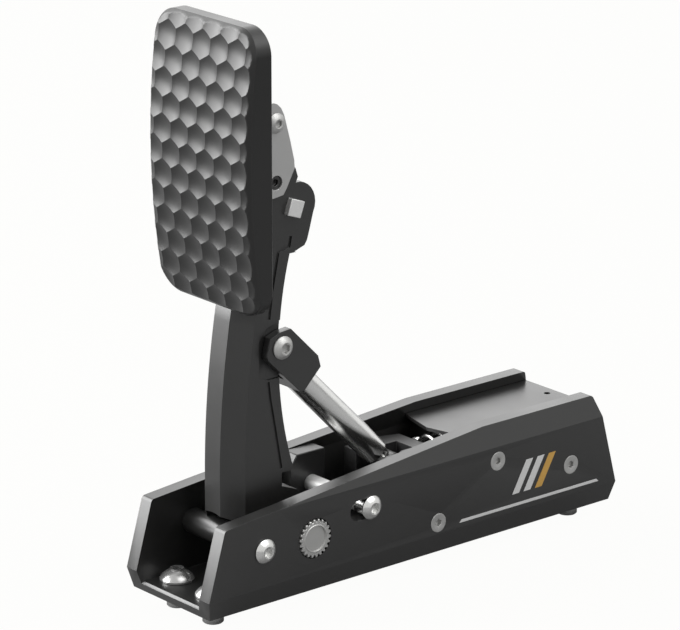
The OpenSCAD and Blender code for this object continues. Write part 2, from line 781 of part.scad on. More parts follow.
module pad_bracket() {
    difference() {
        union() {
            side_slab([[pad_back, 180], [46.5, 177.9], [52, 178.6], [54.2, 181.8], [58.3, 189.4],
                [58.1, 192.9], [55.9, 202.1], [52.7, 213.6], [51.1, 216.9], [48.9, 219],
                [46.8, 219.8], [pad_back, 217]], bracket_in, bracket_out);
            translate([bracket_in, pad_back, flange_z[0]])
                cube([flange_out - bracket_in, flange_t, flange_z[1] - flange_z[0]]);
        }
        across(upper_screw, m5_button[2], bracket_in - past, bracket_out + past);
        across(lower_screw, lower_screw_r, bracket_in - past, bracket_out + past);
        at_pad_screws() {
            translate([0, 0, -m5_head[1]]) cylinder(r1 = m5_head[2], r2 = m5_head[0], h = m5_head[1]);
            translate([0, 0, -flange_t - past]) cylinder(r = m5_head[2], h = flange_t + past);
        }
    }
}

module pad_bracket_right() {
    color(light_grey) placed() pad_bracket();
}

module pad_bracket_left() {
    color(light_grey) placed() mirror([1, 0, 0]) pad_bracket();
}

module bracket_screws() {
    color(zinc) placed() both_sides() facing_out(bracket_out, upper_screw) domed_screw(m5_button, 12);
}

module bracket_pins() {
    color(zinc) placed() both_sides() facing_out(bracket_out - 0.8, lower_screw) difference() {
        union() {
            translate([0, 0, 0.8 - bracket_t]) cylinder(r = lower_screw_r, h = bracket_t - 0.8);
            translate([0, 0, -10]) cylinder(r = m5_button[2], h = 10);
        }
        translate([0, 0, -1.6]) cylinder(d = 3 / cos(30), h = 3, $fn = 6);
    }
}

module pad_screws() {
    color(zinc) placed() at_pad_screws() sunk_screw(m5_head, flange_t + pad_screw_depth - 0.2);
}

// Fork and push rod

fork_outline = [[-2.3, -fork_across], [-3.8, 0.8 - fork_across], [-fork_nose, -1], [-6, 4],
    [-2, fork_across], [19.6, fork_across], [fork_tail, 6], [fork_tail, -7], [22.6, -fork_across]];

module rod_fork() {
    outline = [for (p = fork_outline) rod_point(p[0], p[1])];
    neck = [for (p = [[-past - fork_nose, -20], [bridge_at, -20], [bridge_at, 20], [-past - fork_nose, 20]])
        rod_point(p[0], p[1])];
    color(black) placed() difference() {
        side_slab(outline, -fork_half, fork_half);
        side_slab(neck, -fork_in, fork_in);
        across([fork_y, fork_z], fork_bolt_r, -fork_half - past, fork_half + past);
        along_rod() cylinder(r = rod_r, h = fork_tail + past);
    }
}

module fork_bolt() {
    color(zinc) placed() facing_out(fork_half, [fork_y, fork_z])
        domed_screw([5.2, 3.3, fork_bolt_r, 4], fork_w + 5);
}

module fork_nut() {
    color(zinc) placed() facing_out(-fork_half - 4.6, [fork_y, fork_z]) difference() {
        cylinder(d = 10 / cos(30), h = 4.6, $fn = 6);
        translate([0, 0, -past]) cylinder(r = fork_bolt_r, h = 4.6 + 2 * past);
    }
}

module push_rod() {
    length = rod_len - rod_gap - rod_start;
    color(steel) placed() along_rod() translate([0, 0, rod_start]) {
        cylinder(r = rod_r, h = length - rod_taper);
        translate([0, 0, length - rod_taper]) cylinder(r1 = rod_r, r2 = rod_tip_r, h = rod_taper);
    }
}

module rod_eye() {
    color(black) placed() difference() {
        union() {
            across([pin_y, pin_z], eye_r, -eye_half, eye_half);
            along_rod() translate([0, 0, rod_len - rod_gap]) cylinder(r = rod_stem_r, h = rod_gap);
        }
        across([pin_y, pin_z], pin_r + eye_play, -eye_half - past, eye_half + past);
    }
}

// Carriage

module carriage() {
    back_half = carriage_half - 3.3;
    color(light_grey) placed() difference() {
        union() {
            translate([0, 0, carriage_low]) linear_extrude(carriage_high - carriage_low) polygon([
                [-carriage_half, carriage_front], [carriage_half, carriage_front],
                [carriage_half, carriage_rear - 9], [back_half, carriage_rear],
                [-back_half, carriage_rear], [-carriage_half, carriage_rear - 9]]);
            translate([-tongue_half, carriage_front, carriage_low - tongue_deep])
                cube([2 * tongue_half, carriage_rear - carriage_front, tongue_deep]);
        }
        translate([0, 0, pocket_floor]) linear_extrude(carriage_high - pocket_floor + past) polygon([
            [-7.2, carriage_front - past], [7.2, carriage_front - past], [7.2, 126], [5.7, 128.7],
            [5.7, 135.6], [-5.7, 135.6], [-5.7, 128.7], [-7.2, 126]]);
        across([pin_y, pin_z], pin_r, -carriage_half - past, carriage_half + past);
        both_sides() translate([11, pin_y, pin_z + pin_r]) cylinder(r = 1.8, h = carriage_high);
    }
}

module carriage_pin() {
    color(steel) placed() across([pin_y, pin_z], pin_r, -carriage_half + 0.3, carriage_half - 0.3);
}

module pin_set_screws() {
    color(zinc) placed() both_sides() translate([11, pin_y, pin_z + pin_r]) difference() {
        cylinder(r = 1.8, h = carriage_high - pin_z - pin_r - 1);
        translate([0, 0, 1]) cylinder(d = 2 / cos(30), h = carriage_high, $fn = 6);
    }
}

module spring_guide() {
    tip = seat_at - 2.7 - carriage_travel;
    color(steel) placed() translate([0, carriage_rear, spring_z]) rotate([-90, 0, 0]) {
        cylinder(r = guide_r, h = tip - carriage_rear - 1);
        translate([0, 0, tip - carriage_rear - 1]) cylinder(r1 = guide_r, r2 = guide_r - 1, h = 1);
    }
}

// Stop and adjuster

module stop_bar() {
    color(steel) placed() difference() {
        across([stop_y, slot_z], bar_r, -block_in, inner - slip);
        across([stop_y, slot_z], m6_head[2], inner - 12, inner);
    }
}

module stop_block() {
    half = inner - slip;
    high = deck_z;
    color(light_grey) placed() difference() {
        intersection() {
            end_slab([[-half, 23], [-block_in, 23], [-block_in, high], [slip - inner_at(high), high],
                [-half, wall_bend]], stop_y - 12, stop_y + 8);
            side_slab([[stop_y - 12, 23], [stop_y + 8, 23], [stop_y + 8, high], [stop_y - 8, high],
                [stop_y - 12, high - 6]], -inner, 0);
        }
        across([stop_y, slot_z], m6_head[2], -inner - past, past - block_in);
    }
}

module slot_bolts() {
    color(steel) placed() both_sides() facing_out(outer, [stop_y, slot_z]) {
        domed_screw(m6_head, wall_t + 8);
        translate([0, 0, slip - wall_t]) cylinder(r = slot_w / 2 - 0.1, h = wall_t - slip);
    }
}

function knob_tooth(i) =
    let (step = 360 / knob_teeth, root = knob_r - 1.1)
    [for (p = [[root, 0], [root, 0.42], [knob_r, 0.52], [knob_r, 0.9]])
        p[0] * [cos(step * (i + p[1])), sin(step * (i + p[1]))]];

module adjuster_knob() {
    color(zinc) placed() facing_out(outer - knob_sink, [knob_y, knob_z]) difference() {
        linear_extrude(knob_t) polygon([for (i = [0:knob_teeth - 1]) each knob_tooth(i)]);
        translate([0, 0, knob_t - 0.6]) cylinder(r = 5.75, h = 1);
    }
}

module cam_shaft() {
    color(steel) placed() {
        across([knob_y, knob_z], cam_shaft_r, -outer - slip, outer - knob_sink);
        across([knob_y - cam_throw, knob_z], cam_r, -arm_half - 0.5, arm_half + 0.5);
    }
}

module shaft_cap() {
    color(zinc) placed() across([knob_y, knob_z], cap_r, -outer - slip - cap_t, -outer - slip);
}

base_channel();
deck_plate();
floor_bolts();
pivot_sleeve();
pivot_spacers();
pivot_bolts();
guide_rail();
cell_housing();
side_screws();
spring();
spring_seat();
elastomer();
load_cell();
rear_cover();
cable_grommet();
arm();
arm_bushes();
pad_plate();
pad_bracket_left();
pad_bracket_right();
bracket_screws();
bracket_pins();
pad_screws();
lobe_pin();
rod_fork();
fork_bolt();
fork_nut();
push_rod();
rod_eye();
carriage();
carriage_pin();
pin_set_screws();
spring_guide();
stop_bar();
stop_block();
slot_bolts();
adjuster_knob();
cam_shaft();
shaft_cap();
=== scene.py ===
# %% [markdown]
# # A pedal module for driving games
# The shapes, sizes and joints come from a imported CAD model, which is loaded as a fixed frame.
# This lesson dresses that frame: it gives every part its finish, makes finer meshes where the
# eye rests (the dimpled pad, the spring, the screws, the knob), and lights it all on a pale floor.
# Lengths below are in millimetres, with y from the front end of the base and z from its
# underside, as on a workshop drawing. One helper, `placed`, turns them into the scene's metres.

import json

import bmesh
import bpy
import numpy as np
from mathutils import Matrix, Vector


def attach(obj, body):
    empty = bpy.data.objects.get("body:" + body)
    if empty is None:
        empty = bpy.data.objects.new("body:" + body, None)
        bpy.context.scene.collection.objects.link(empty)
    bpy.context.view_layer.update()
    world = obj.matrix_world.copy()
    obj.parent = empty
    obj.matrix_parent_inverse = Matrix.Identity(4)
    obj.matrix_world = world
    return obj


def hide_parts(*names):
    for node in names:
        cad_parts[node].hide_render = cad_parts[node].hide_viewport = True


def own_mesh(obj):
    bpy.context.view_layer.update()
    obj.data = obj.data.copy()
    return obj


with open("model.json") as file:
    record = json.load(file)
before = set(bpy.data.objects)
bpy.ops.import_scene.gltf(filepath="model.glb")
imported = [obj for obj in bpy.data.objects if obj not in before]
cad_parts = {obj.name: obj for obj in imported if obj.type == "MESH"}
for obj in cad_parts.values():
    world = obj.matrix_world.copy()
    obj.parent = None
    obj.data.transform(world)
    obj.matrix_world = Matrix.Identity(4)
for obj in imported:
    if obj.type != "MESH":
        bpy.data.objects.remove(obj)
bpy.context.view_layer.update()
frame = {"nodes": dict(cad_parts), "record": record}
nodes = frame["nodes"]
for plain in list(bpy.data.materials):
    bpy.data.materials.remove(plain)

MM = 0.001
BASE_LENGTH = 240.0
BOLT_REACH = 7.7


def placed(points):
    """Drawing points in mm to metres in the shared frame: y and z are shifted, then all is scaled."""
    return (np.asarray(points, float) + (0, -BASE_LENGTH / 2, BOLT_REACH)) * MM


# %% [markdown]
# ## The camera
# The photograph looks down on the module from the front right, from far away with a long
# lens. The viewpoint was worked out from the corners of the base, the pad and the screws. A
# camera could be turned with Euler angles, but three unit vectors (right, up, back) are easier
# to check: back points from the target to the camera.

# %% Camera at the photograph's viewpoint
PHOTO_WIDTH, PHOTO_HEIGHT = 680, 630
AZIMUTH, ELEVATION = np.radians(49.937), np.radians(17.547)
FOCAL_PX = 4043.7
CENTRE_PX = (337.39, 308.24)
DISTANCE = 1776.2
TARGET = (0, 96, 115.2)

back = np.array([
    np.sin(AZIMUTH) * np.cos(ELEVATION),
    -np.cos(AZIMUTH) * np.cos(ELEVATION),
    np.sin(ELEVATION),
])
right = np.array([np.cos(AZIMUTH), np.sin(AZIMUTH), 0])
up = np.cross(back, right)
eye = placed(TARGET) + back * DISTANCE * MM
turn = Matrix(np.column_stack([right, up, back]).tolist()).to_4x4()

lens = bpy.data.cameras.new("photo_camera")
lens.sensor_width = 36
lens.lens = FOCAL_PX * lens.sensor_width / PHOTO_WIDTH
lens.shift_x = (PHOTO_WIDTH / 2 - CENTRE_PX[0]) / PHOTO_WIDTH
lens.shift_y = -(PHOTO_HEIGHT / 2 - CENTRE_PX[1]) / PHOTO_WIDTH
camera = bpy.data.objects.new("photo_camera", lens)
camera.matrix_world = Matrix.Translation(eye.tolist()) @ turn
bpy.context.scene.collection.objects.link(camera)
bpy.context.scene.camera = camera
print("camera", round(lens.lens, 1), "mm lens at", np.round(eye, 3))

# %% [markdown]
# ## Grain, the effect that every finish shares
# Anodised, painted and brushed metal all differ from plain plastic by a fine grain: the tone
# flickers a little, the gloss is uneven, and the surface is not quite flat. One node group
# makes all three from two noises, so each material only says how coarse and how strong.
# The group puts out values that change over the surface. The shader stays in the material.


# %% A group for metal grain
# patches in a metre, how much the roughness changes from patch to patch, relief in metres
PATCH_SCALE = 45
UNEVENNESS = 0.12
GRAIN_DEPTH = 0.00003


def socket(group, name, way, kind, value=None):
    item = group.interface.new_socket(name, in_out=way, socket_type="NodeSocket" + kind)
    if value is not None:
        item.default_value = value


def grain_group():
    """Tone = colour * (1 + spread * (fine - 1/2)); rough = roughness + unevenness * (coarse - 1/2)."""
    group = bpy.data.node_groups.new("metal_grain", "ShaderNodeTree")
    socket(group, "Colour", "INPUT", "Color", (0.5, 0.5, 0.5, 1))
    socket(group, "Roughness", "INPUT", "Float", 0.4)
    socket(group, "Scale", "INPUT", "Float", 2000.0)
    socket(group, "Stretch", "INPUT", "Vector", (1, 1, 1))
    socket(group, "Spread", "INPUT", "Float", 0.1)
    socket(group, "Unevenness", "INPUT", "Float", 0.1)
    socket(group, "Tone", "OUTPUT", "Color")
    socket(group, "Rough", "OUTPUT", "Float")
    socket(group, "Height", "OUTPUT", "Float")
    tree, link = group.nodes, group.links.new
    inner, outer = tree.new("NodeGroupInput"), tree.new("NodeGroupOutput")
    place = tree.new("ShaderNodeTexCoord")
    stretch = tree.new("ShaderNodeMapping")
    link(place.outputs["Object"], stretch.inputs["Vector"])
    link(inner.outputs["Stretch"], stretch.inputs["Scale"])
    fine, coarse = tree.new("ShaderNodeTexNoise"), tree.new("ShaderNodeTexNoise")
    link(stretch.outputs["Vector"], fine.inputs["Vector"])
    link(inner.outputs["Scale"], fine.inputs["Scale"])
    fine.inputs["Detail"].default_value = 3
    link(place.outputs["Object"], coarse.inputs["Vector"])
    coarse.inputs["Scale"].default_value = PATCH_SCALE
    coarse.inputs["Detail"].default_value = 4

    def math(kind, a, b):
        node = tree.new("ShaderNodeMath")
        node.operation = kind
        for slot, value in zip(node.inputs, (a, b)):
            if isinstance(value, (int, float)):
                slot.default_value = value
            else:
                link(value, slot)
        return node.outputs[0]

    flicker = math("MULTIPLY", math("SUBTRACT", fine.outputs["Fac"], 0.5), inner.outputs["Spread"])
    scaled = tree.new("ShaderNodeVectorMath")
    scaled.operation = "SCALE"
    link(inner.outputs["Colour"], scaled.inputs[0])
    link(math("ADD", flicker, 1.0), scaled.inputs["Scale"])
    link(scaled.outputs["Vector"], outer.inputs["Tone"])
    patch = math("MULTIPLY", math("SUBTRACT", coarse.outputs["Fac"], 0.5), inner.outputs["Unevenness"])
    link(math("ADD", inner.outputs["Roughness"], patch), outer.inputs["Rough"])
    link(fine.outputs["Fac"], outer.inputs["Height"])
    return group


grain = grain_group()
print("grain group with", len(grain.nodes), "nodes")


# %% A function for one finish
def finish(name, colour, roughness, metallic, scale=2500, stretch=(1, 1, 1), spread=0.15,
           bump=0.1, specular=0.5):
    """A metal or paint: the grain group feeds colour, roughness and bump; the rest is constant."""
    material = bpy.data.materials.new(name)
    material.use_nodes = True
    tree, link = material.node_tree.nodes, material.node_tree.links.new
    shader = tree["Principled BSDF"]
    shader.inputs["Metallic"].default_value = metallic
    shader.inputs["Specular IOR Level"].default_value = specular
    grains = tree.new("ShaderNodeGroup")
    grains.node_tree = grain
    grains.inputs["Colour"].default_value = (*colour, 1)
    grains.inputs["Roughness"].default_value = roughness
    grains.inputs["Scale"].default_value = scale
    grains.inputs["Stretch"].default_value = stretch
    grains.inputs["Spread"].default_value = spread
    grains.inputs["Unevenness"].default_value = UNEVENNESS
    relief = tree.new("ShaderNodeBump")
    relief.inputs["Strength"].default_value = bump
    relief.inputs["Distance"].default_value = GRAIN_DEPTH
    link(grains.outputs["Tone"], shader.inputs["Base Color"])
    link(grains.outputs["Rough"], shader.inputs["Roughness"])
    link(grains.outputs["Height"], relief.inputs["Height"])
    link(relief.outputs["Normal"], shader.inputs["Normal"])
    return material


# %% [markdown]
# ## The finishes
# The body parts are black with a satin sheen, and the pad is a deeper black. The brackets that
# carry the pad are light grey anodised aluminium. The carriage and the stop block are machined
# and a darker grey. The rod and the spring are polished steel, the cross bar and the square pin
# are brushed, and the screws are stainless steel, zinc or a darker bolt steel. Bars and rods
# have their grain drawn out along one axis, so their noise is stretched.

# %% Make the finishes
satin_black = finish("satin_black", (0.013, 0.013, 0.0126), 0.33, 0.0, scale=2600, spread=0.5, bump=0.2,
                     specular=0.75)
pad_black = finish("pad_black", (0.006, 0.006, 0.0058), 0.36, 0.0, scale=2200, spread=0.4, bump=0.2,
                   specular=0.5)
grey_anodised = finish("grey_anodised", (0.47, 0.47, 0.465), 0.42, 0.6, scale=3000, spread=0.15)
polished_steel = finish("polished_steel", (0.78, 0.78, 0.77), 0.2, 1.0, scale=900,
                        stretch=(0.3, 1, 1), spread=0.1, bump=0.05)
spring_steel = finish("spring_steel", (0.75, 0.75, 0.74), 0.26, 1.0, scale=1200, spread=0.12)
stainless = finish("stainless", (0.6, 0.6, 0.59), 0.27, 1.0, scale=1500, spread=0.12)
zinc = finish("zinc", (0.47, 0.47, 0.46), 0.46, 0.7, scale=2400, spread=0.2)
cell_aluminium = finish("cell_aluminium", (0.6, 0.6, 0.62), 0.35, 1.0, scale=1500)
rubber = finish("rubber", (0.012, 0.012, 0.012), 0.8, 0.0, scale=1800, bump=0.3)
bolt_steel = finish("bolt_steel", (0.4, 0.4, 0.395), 0.27, 0.8, scale=1500, spread=0.12)
brushed_steel = finish("brushed_steel", (0.78, 0.78, 0.77), 0.4, 0.45, scale=1200,
                       stretch=(0.2, 1, 1))
machined_grey = finish("machined_grey", (0.055, 0.055, 0.055), 0.36, 0.6, scale=2600, spread=0.2)
stripe_grey = finish("stripe_grey", (0.8, 0.8, 0.79), 0.4, 0.0, scale=2600, spread=0.1)
stripe_gold = finish("stripe_gold", (0.72, 0.42, 0.1), 0.4, 0.2, scale=2600, spread=0.1)
finishes = {m.name: m for m in (satin_black, pad_black, grey_anodised, polished_steel,
                                spring_steel, stainless, zinc, cell_aluminium, rubber)}
for part in frame["record"]["subparts"]:
    mesh = nodes[part["node"]].data
    mesh.materials.clear()
    mesh.materials.append(finishes[part["material_slot"]])

# %% [markdown]
# ## Two ways to make a piece
# A new piece is a grid of points worked out with numpy, wrapped with quads. A machined part
# whose CAD shape is right only lacks broken edges: light catches a real edge because it is
# never quite sharp. For those, a copy of the CAD mesh is welded, its flat faces are joined, and
# a narrow bevel is run along its edges. The copy then stands for the node.


# %% Helpers for pieces
def show(name, mesh, material, body, node=None, sharp=30):
    """Shade a mesh smooth up to the sharp angle, give it its material and hang it on its body."""
    mesh.materials.clear()
    mesh.materials.append(material)
    mesh.shade_smooth()
    mesh.set_sharp_from_angle(angle=np.radians(sharp))
    piece = bpy.data.objects.new(name, mesh)
    bpy.context.scene.collection.objects.link(piece)
    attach(piece, body)
    if node:
        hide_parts(node)
    return piece


def weld(mesh, gap=1e-7):
    """Merge points that lie on each other and turn all faces outwards."""
    shape = bmesh.new()
    shape.from_mesh(mesh)
    bmesh.ops.remove_doubles(shape, verts=shape.verts, dist=gap)
    bmesh.ops.dissolve_degenerate(shape, dist=gap, edges=shape.edges)
    bmesh.ops.recalc_face_normals(shape, faces=shape.faces)
    shape.to_mesh(mesh)
    shape.free()
    return mesh


def grid_faces(rows, columns):
    """Quads between neighbouring rows of points; the last column joins the first."""
    across = np.arange(columns)
    down = np.arange(rows - 1)[:, None] * columns
    a, b = down + across, down + (across + 1) % columns
    return np.stack([a, b, b + columns, a + columns], axis=-1).reshape(-1, 4)


def surface(name, *grids):
    """One mesh from arrays of points, each with the shape rows x columns x 3 and closed across."""
    starts = np.cumsum([0] + [grid[..., 0].size for grid in grids])
    faces = [grid_faces(*grid.shape[:2]) + start for grid, start in zip(grids, starts)]
    mesh = bpy.data.meshes.new(name)
    mesh.from_pydata(np.concatenate([grid.reshape(-1, 3) for grid in grids]).tolist(), [],
                     np.concatenate(faces).tolist())
    return weld(mesh)


EDGE_ANGLE = np.radians(25)
FLAT_ANGLE = np.radians(0.5)


def softened(node, width, material, body):
    """A copy of a CAD node whose edges above the edge angle carry a bevel of that width in mm."""
    mesh = nodes[node].data.copy()
    shape = bmesh.new()
    shape.from_mesh(mesh)
    bmesh.ops.remove_doubles(shape, verts=shape.verts, dist=1e-6)
    bmesh.ops.dissolve_limit(shape, angle_limit=FLAT_ANGLE, verts=shape.verts, edges=shape.edges)
    shape.to_mesh(mesh)
    shape.free()
    piece = show(node + "_body", mesh, material, body, node)
    bevel = piece.modifiers.new("broken_edges", "BEVEL")
    bevel.width = width * MM
    bevel.segments = 2
    bevel.limit_method = "ANGLE"
    bevel.angle_limit = EDGE_ANGLE
    return piece


# %% Broken edges on the machined parts
softened("base_channel", 0.5, satin_black, "base")
softened("deck_plate", 0.3, satin_black, "base")
softened("arm", 0.4, satin_black, "pedal")
softened("pad_bracket_left", 0.35, grey_anodised, "pedal")
softened("pad_bracket_right", 0.35, grey_anodised, "pedal")
softened("rod_fork", 0.4, satin_black, "rod")
softened("carriage", 0.35, machined_grey, "sled")
softened("stop_block", 0.4, machined_grey, "stop")
softened("stop_bar", 0.3, brushed_steel, "stop")
softened("lobe_pin", 0.3, brushed_steel, "pedal")
softened("bracket_pins", 0.2, satin_black, "pedal")

# %% [markdown]
# ## The dimpled pad
# The face of the pad is a honeycomb of shallow bowls that meet in crisp ridges and break out
# through the slanted rim. It could be cut with some eighty spheres, but a depth that is worked
# out at every point of a fine lattice is cleaner. The lattice is laid along the honeycomb's own
# directions, so that rows of points fall on the ridges and keep them sharp.

# %% The depth of the pad's face
PAD_HALF, PAD_RISE, PAD_MID = 34.0, 62.8, 194.3
PAD_CORNER, PAD_CHAMFER = 12.0, 2.4
PAD_RIM, PAD_BACK, BACK_EDGE = 20.45, 32.3, 0.6
BOW_RADIUS, BOW_Z = 350.0, 198.0
CELL_PITCH, ROW_PITCH, ROWS_Z = 11.75, 10.05, 246.2
BOWL_DEPTH = 1.3
FINE_X, FINE_Z = CELL_PITCH / 24, ROW_PITCH / 18
CORE = np.array([PAD_HALF - PAD_CORNER, PAD_RISE - PAD_CORNER])


def bowl(x, z):
    """Depth of the nearest bowl: depth * (1 - (distance / reach)^2); each row steps by half a cell."""
    row = np.floor((ROWS_Z - z) / ROW_PITCH)
    nearest = np.inf
    for number in (row, row + 1):
        side = x - (number % 2) * CELL_PITCH / 2
        side = side - CELL_PITCH * np.round(side / CELL_PITCH)
        nearest = np.minimum(nearest, np.hypot(side, z - ROWS_Z + number * ROW_PITCH))
    return BOWL_DEPTH * np.maximum(0, 1 - (nearest * 3**0.5 / CELL_PITCH)**2)


def pad_front(x, z):
    """y of the face: a bowed plane, then the deeper of the bowls and the 45 degree rim."""
    bow = BOW_RADIUS - np.sqrt(BOW_RADIUS**2 - (z - BOW_Z)**2)
    over = np.abs(np.stack([x, z - PAD_MID], axis=-1)) - CORE
    from_rim = PAD_CORNER - np.hypot(*np.maximum(over, 0).T) - np.minimum(over.max(axis=-1), 0)
    return PAD_RIM + bow + np.maximum(bowl(x, z) - PAD_CHAMFER, -from_rim)


def on_outline(x, z, inset=0.0):
    """Points moved straight to the pad's round-cornered outline, or a little inside it."""
    flat = np.stack([x, z - PAD_MID], axis=-1)
    core = np.clip(flat, -CORE, CORE)
    away = flat - core
    away *= (PAD_CORNER - inset) / np.maximum(np.linalg.norm(away, axis=-1, keepdims=True), 1e-9)
    return core[:, 0] + away[:, 0], core[:, 1] + away[:, 1] + PAD_MID


# %% The pad as one closed mesh
def pad_mesh():
    """Lattice triangles with a corner inside the outline; the other corners are moved onto it."""
    reach_x, reach_z = int(PAD_HALF / FINE_X) + 2, int(2 * PAD_RISE / FINE_Z)
    columns, heights = np.arange(-reach_x, reach_x + 1), np.arange(-reach_z, reach_z)
    i, k = np.meshgrid(columns, heights, indexing="ij")
    x = (i * FINE_X).ravel()
    z = (ROWS_Z + (k + 0.5 * (i % 2)) * FINE_Z).ravel()
    count = len(heights)
    a = (np.arange(len(columns) - 1)[:, None] * count + np.arange(count - 1)).ravel()
    b, c, d = a + count, a + count + 1, a + 1
    even = np.repeat(columns[:-1] % 2 == 0, count - 1)[:, None]
    faces = np.where(even, np.stack([a, b, d, d, b, c], 1), np.stack([a, b, c, a, c, d], 1)).reshape(-1, 3)
    over = np.abs(np.stack([x, z - PAD_MID], axis=-1)) - CORE
    outside = np.hypot(*np.maximum(over, 0).T) > PAD_CORNER
    faces = faces[~outside[faces].all(axis=1)]
    used, faces = np.unique(faces, return_inverse=True)
    faces = faces.reshape(-1, 3)
    x, z, outside = x[used], z[used], outside[used]
    edge = np.flatnonzero(outside)
    x[edge], z[edge] = on_outline(x[edge], z[edge])
    edge = edge[np.argsort(np.arctan2(z[edge] - PAD_MID, x[edge]))]
    front = np.stack([x, pad_front(x, z), z], axis=-1)
    rings = []
    for inset, y in ((0, PAD_BACK - BACK_EDGE), (BACK_EDGE, PAD_BACK)):
        ring_x, ring_z = on_outline(x[edge], z[edge], inset)
        rings.append(np.stack([ring_x, np.full(len(edge), y), ring_z], axis=-1))
    index = np.concatenate([edge, np.arange(2 * len(edge)) + len(front)])
    wall = index[grid_faces(3, len(edge))]
    mesh = bpy.data.meshes.new("pad_face")
    points = placed(np.concatenate([front, *rings]))
    mesh.from_pydata(points.tolist(), [], faces.tolist() + wall.tolist() + [index[-len(edge):].tolist()])
    return weld(mesh)


pad = show("pad_face", pad_mesh(), pad_black, "pedal", "pad_plate", sharp=22)
print("pad:", len(pad.data.polygons), "faces")

# %% [markdown]
# ## Turned pieces: screws, knob and rod
# Screws, pins and the rod come off a lathe, so each is a profile turned about a line. A row of
# the profile gives a height, a radius and how far the round section has become a hexagon, which
# also makes the sockets. A Screw modifier could turn a profile too, but not a hexagon.
# The button heads are an arc of a sphere. The stop's bolts have a shoulder that runs in the
# slot, and the floor bolts have a neck in the floor and a low collar round the socket. The side
# screws are sunk flush with the wall.


# %% A function for turned pieces
def turned(rows, at, along, columns=48):
    """Points at height h and radius r * (1 + share * (hexagon - 1)) round a line through `at`."""
    height, radius, share = np.asarray(rows, float).T[:, :, None]
    angle = np.arange(columns) * 2 * np.pi / columns
    hexagon = np.cos(np.pi / 6) / np.cos((angle + np.pi / 6) % (np.pi / 3) - np.pi / 6)
    radius = radius * (1 + share * (hexagon - 1))
    along = np.asarray(along, float) / np.linalg.norm(along)
    side = np.cross(along, (0, 0, 1) if abs(along[2]) < 0.9 else (1, 0, 0))
    side /= np.linalg.norm(side)
    other = np.cross(along, side)
    turn = (radius * np.cos(angle))[..., None] * side + (radius * np.sin(angle))[..., None] * other
    return placed(at + height[..., None] * along + turn)


def button(head, height, socket, shank, length, neck=None, collar=0.0):
    """Rows of a domed screw: shank, low rim, an arc of a sphere, a collar, the socket's floor."""
    rise = 0.8 * height
    sphere = (head**2 + rise**2) / (2 * rise)
    mouth = socket * 1.22
    point, edge, lip = 0.5, 0.2, 0.15
    radii = head - (head - mouth) * np.linspace(0, 1, 10)**1.3
    heights = height - sphere + np.sqrt(sphere**2 - radii**2)
    start = [(-length, 0, 0), (-length, shank - point, 0), (point - length, shank, 0)] + (neck or [])
    rim = [(0, (neck or [(0, shank)])[-1][1], 0), (0, head - edge, 0), (edge, head, 0)]
    top = heights[-1] + collar
    cup = [(top - lip, socket, 1), (top - 0.5 * height, socket, 1), (top - 0.62 * height, 0, 1)]
    dome = [(h, r, 0) for h, r in zip(heights, radii)]
    return start + rim + dome + ([(top, mouth, 0)] if collar else []) + cup


def sunk(head, height, socket, shank, length):
    """Rows of a countersunk screw: its flat top lies at height 0, with a hexagon socket."""
    return [(-length, 0, 0), (-length, shank, 0), (-height, shank, 0), (-0.25, head - 0.1, 0),
            (-0.08, head - 0.12, 0), (0, head - 0.25, 0), (0, socket * 1.2, 0), (-0.15, socket, 1),
            (-0.8 * height, socket, 1), (-height, 0, 1)]


def both_ways(rows, x, y, z, columns=48):
    """The same turned piece on the right and on the left, each pointing outwards."""
    return [turned(rows, (way * x, y, z), (way, 0, 0), columns) for way in (1, -1)]


# %% Screws
OUTER = 29.1
HEAD_GAP = 0.05
FORK, PIN = np.array([0, 51.2, 110.6]), np.array([0, 124.7, 36.4])
wide = {"head": 5.5, "height": 3.3, "socket": 2.31, "shank": 2.95}
narrow = {"head": 4.4, "height": 2.6, "socket": 1.73, "shank": 2.45}
fork_size = {"head": 5.2, "height": 3.3, "socket": 2.31, "shank": 3.0}
floor_size = {"head": 7.8, "height": 5.2, "socket": 2.6, "shank": 4.7}
flush = {"head": 4.5, "height": 2.2, "socket": 1.73, "shank": 2.45}
shoulder = [(-6.8, 2.95, 0), (-6.8, 4.6, 0), (-0.1, 4.6, 0)]
floor_neck = [(-4.4, 4.7, 0), (-4.4, 4.1, 0)]
floor_places = [(x, y, 4.4) for x in (-12.6, 12.6) for y in (15, 225)]
side_places = [(130.6, 14.7), (166.2, 35.7), (211.5, 23.6)]
pivot_rows = button(**wide, length=18)
slot_rows = button(**wide, length=14, neck=shoulder)
fork_rows = button(**fork_size, length=38.2)
bracket_rows = button(**narrow, length=12)
floor_rows = button(**floor_size, length=12.1, neck=floor_neck, collar=0.8)
side_rows = sunk(**flush, length=14)
screws = {
    "pivot_bolts": ("base", stainless, both_ways(pivot_rows, OUTER, 30.8, 25.7)),
    "slot_bolts": ("stop", stainless, both_ways(slot_rows, OUTER + HEAD_GAP, 91, 31.5)),
    "fork_bolt": ("rod", zinc, [turned(fork_rows, FORK + (16.6, 0, 0), (1, 0, 0))]),
    "bracket_screws": ("pedal", zinc, both_ways(bracket_rows, 16.7, 48.1, 210.9)),
    "floor_bolts": ("base", bolt_steel, [
        turned(floor_rows, place, (0, 0, 1), 60) for place in floor_places]),
    "side_screws": ("base", zinc, [
        grid for y, z in side_places for grid in both_ways(side_rows, OUTER, y, z)]),
}
for node, (body, material, grids) in screws.items():
    show(node + "_turned", surface(node, *grids), material, body, node)
print("turned", sum(len(grids) for _, _, grids in screws.values()), "screws")

